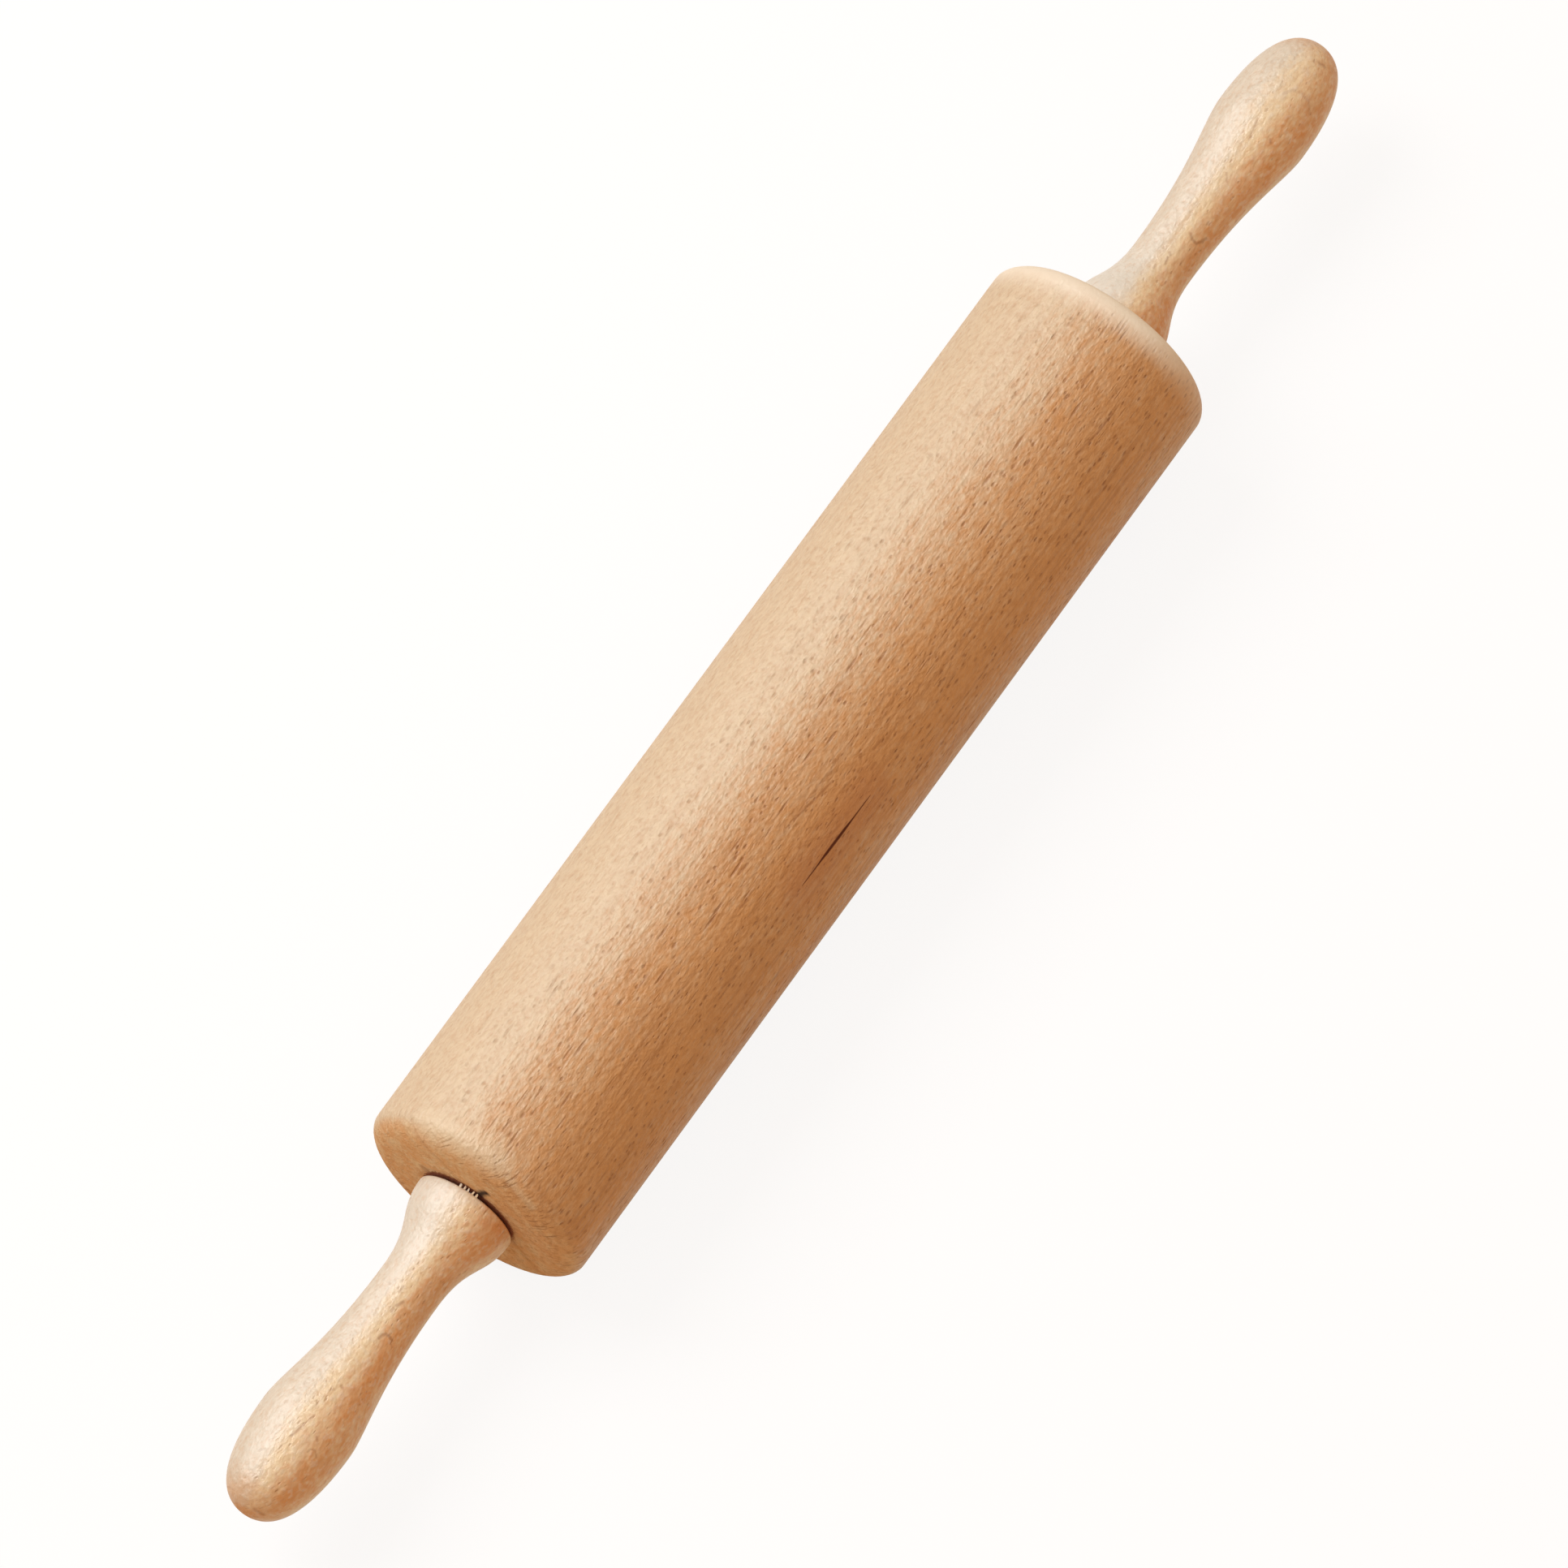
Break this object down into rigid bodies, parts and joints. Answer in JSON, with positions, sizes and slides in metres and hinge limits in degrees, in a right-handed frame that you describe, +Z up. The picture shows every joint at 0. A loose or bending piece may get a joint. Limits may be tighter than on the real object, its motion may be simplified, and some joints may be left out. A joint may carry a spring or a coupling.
{
  "type": "rolling pin",
  "caption": "Wooden rolling pin: a thick cylindrical barrel with rounded ends that turns on a through rod between two fixed, waisted handles.",
  "frame": {"origin": "centre of the barrel, on the spin axis", "axes": "+X along the spin axis towards the right handle, +Z up"},
  "size_m": [0.5324, 0.07, 0.07],
  "materials": {
    "barrel_wood": "sanded and oiled beech",
    "handle_wood": "satin clear coated beech",
    "bright_steel": "bright drawn steel",
    "spring_steel": "oiled spring steel",
    "bearing_steel": "ground and polished",
    "shield_steel": "pressed sheet",
    "insert_brass": "machined",
    "cage_nylon": "moulded nylon"
  },
  "bodies": {
    "handles_and_rod": {"axle_rod": "bright_steel", "left_handle": "handle_wood", "left_threaded_insert": "insert_brass", "left_spacer_washer": "bright_steel", "left_retaining_ring": "spring_steel", "left_bearing_inner_ring": "bearing_steel", "right_handle": "handle_wood", "right_threaded_insert": "insert_brass", "right_spacer_washer": "bright_steel", "right_retaining_ring": "spring_steel", "right_bearing_inner_ring": "bearing_steel"},
    "barrel": {"barrel": "barrel_wood", "left_bearing_outer_ring": "bearing_steel", "left_bearing_inner_shield": "shield_steel", "left_bearing_outer_shield": "shield_steel", "right_bearing_outer_ring": "bearing_steel", "right_bearing_inner_shield": "shield_steel", "right_bearing_outer_shield": "shield_steel"},
    "left_cage": {"left_ball_cage": "cage_nylon"},
    "left_ball_1": {"left_bearing_ball_1": "bearing_steel"},
    "left_ball_2": {"left_bearing_ball_2": "bearing_steel"},
    "left_ball_3": {"left_bearing_ball_3": "bearing_steel"},
    "left_ball_4": {"left_bearing_ball_4": "bearing_steel"},
    "left_ball_5": {"left_bearing_ball_5": "bearing_steel"},
    "left_ball_6": {"left_bearing_ball_6": "bearing_steel"},
    "left_ball_7": {"left_bearing_ball_7": "bearing_steel"},
    "right_cage": {"right_ball_cage": "cage_nylon"},
    "right_ball_1": {"right_bearing_ball_1": "bearing_steel"},
    "right_ball_2": {"right_bearing_ball_2": "bearing_steel"},
    "right_ball_3": {"right_bearing_ball_3": "bearing_steel"},
    "right_ball_4": {"right_bearing_ball_4": "bearing_steel"},
    "right_ball_5": {"right_bearing_ball_5": "bearing_steel"},
    "right_ball_6": {"right_bearing_ball_6": "bearing_steel"},
    "right_ball_7": {"right_bearing_ball_7": "bearing_steel"}
  },
  "joints": [
    {"name": "barrel_spin", "type": "hinge", "parent": "handles_and_rod", "child": "barrel", "pos_m": [0, 0, 0], "axis": [1, 0, 0], "continuous": true},
    {"name": "left_cage_spin", "type": "hinge", "parent": "handles_and_rod", "child": "left_cage", "pos_m": [-0.154, 0, 0], "axis": [1, 0, 0], "continuous": true},
    {"name": "left_ball_1_spin", "type": "hinge", "parent": "left_cage", "child": "left_ball_1", "pos_m": [-0.154, 0, 0.0075], "axis": [1, 0, 0], "continuous": true},
    {"name": "left_ball_2_spin", "type": "hinge", "parent": "left_cage", "child": "left_ball_2", "pos_m": [-0.154, -0.00586, 0.00468], "axis": [1, 0, 0], "continuous": true},
    {"name": "left_ball_3_spin", "type": "hinge", "parent": "left_cage", "child": "left_ball_3", "pos_m": [-0.154, -0.00731, -0.00167], "axis": [1, 0, 0], "continuous": true},
    {"name": "left_ball_4_spin", "type": "hinge", "parent": "left_cage", "child": "left_ball_4", "pos_m": [-0.154, -0.00325, -0.00676], "axis": [1, 0, 0], "continuous": true},
    {"name": "left_ball_5_spin", "type": "hinge", "parent": "left_cage", "child": "left_ball_5", "pos_m": [-0.154, 0.00325, -0.00676], "axis": [1, 0, 0], "continuous": true},
    {"name": "left_ball_6_spin", "type": "hinge", "parent": "left_cage", "child": "left_ball_6", "pos_m": [-0.154, 0.00731, -0.00167], "axis": [1, 0, 0], "continuous": true},
    {"name": "left_ball_7_spin", "type": "hinge", "parent": "left_cage", "child": "left_ball_7", "pos_m": [-0.154, 0.00586, 0.00468], "axis": [1, 0, 0], "continuous": true},
    {"name": "right_cage_spin", "type": "hinge", "parent": "handles_and_rod", "child": "right_cage", "pos_m": [0.154, 0, 0], "axis": [1, 0, 0], "continuous": true},
    {"name": "right_ball_1_spin", "type": "hinge", "parent": "right_cage", "child": "right_ball_1", "pos_m": [0.154, 0, 0.0075], "axis": [1, 0, 0], "continuous": true},
    {"name": "right_ball_2_spin", "type": "hinge", "parent": "right_cage", "child": "right_ball_2", "pos_m": [0.154, -0.00586, 0.00468], "axis": [1, 0, 0], "continuous": true},
    {"name": "right_ball_3_spin", "type": "hinge", "parent": "right_cage", "child": "right_ball_3", "pos_m": [0.154, -0.00731, -0.00167], "axis": [1, 0, 0], "continuous": true},
    {"name": "right_ball_4_spin", "type": "hinge", "parent": "right_cage", "child": "right_ball_4", "pos_m": [0.154, -0.00325, -0.00676], "axis": [1, 0, 0], "continuous": true},
    {"name": "right_ball_5_spin", "type": "hinge", "parent": "right_cage", "child": "right_ball_5", "pos_m": [0.154, 0.00325, -0.00676], "axis": [1, 0, 0], "continuous": true},
    {"name": "right_ball_6_spin", "type": "hinge", "parent": "right_cage", "child": "right_ball_6", "pos_m": [0.154, 0.00731, -0.00167], "axis": [1, 0, 0], "continuous": true},
    {"name": "right_ball_7_spin", "type": "hinge", "parent": "right_cage", "child": "right_ball_7", "pos_m": [0.154, 0.00586, 0.00468], "axis": [1, 0, 0], "continuous": true}
  ],
  "couplings": [
    {"joint": "left_cage_spin", "follows": "barrel_spin", "ratio": 0.6323},
    {"joint": "left_ball_1_spin", "follows": "barrel_spin", "ratio": 1.7573},
    {"joint": "left_ball_2_spin", "follows": "barrel_spin", "ratio": 1.7573},
    {"joint": "left_ball_3_spin", "follows": "barrel_spin", "ratio": 1.7573},
    {"joint": "left_ball_4_spin", "follows": "barrel_spin", "ratio": 1.7573},
    {"joint": "left_ball_5_spin", "follows": "barrel_spin", "ratio": 1.7573},
    {"joint": "left_ball_6_spin", "follows": "barrel_spin", "ratio": 1.7573},
    {"joint": "left_ball_7_spin", "follows": "barrel_spin", "ratio": 1.7573},
    {"joint": "right_cage_spin", "follows": "barrel_spin", "ratio": 0.6323},
    {"joint": "right_ball_1_spin", "follows": "barrel_spin", "ratio": 1.7573},
    {"joint": "right_ball_2_spin", "follows": "barrel_spin", "ratio": 1.7573},
    {"joint": "right_ball_3_spin", "follows": "barrel_spin", "ratio": 1.7573},
    {"joint": "right_ball_4_spin", "follows": "barrel_spin", "ratio": 1.7573},
    {"joint": "right_ball_5_spin", "follows": "barrel_spin", "ratio": 1.7573},
    {"joint": "right_ball_6_spin", "follows": "barrel_spin", "ratio": 1.7573},
    {"joint": "right_ball_7_spin", "follows": "barrel_spin", "ratio": 1.7573}
  ]
}
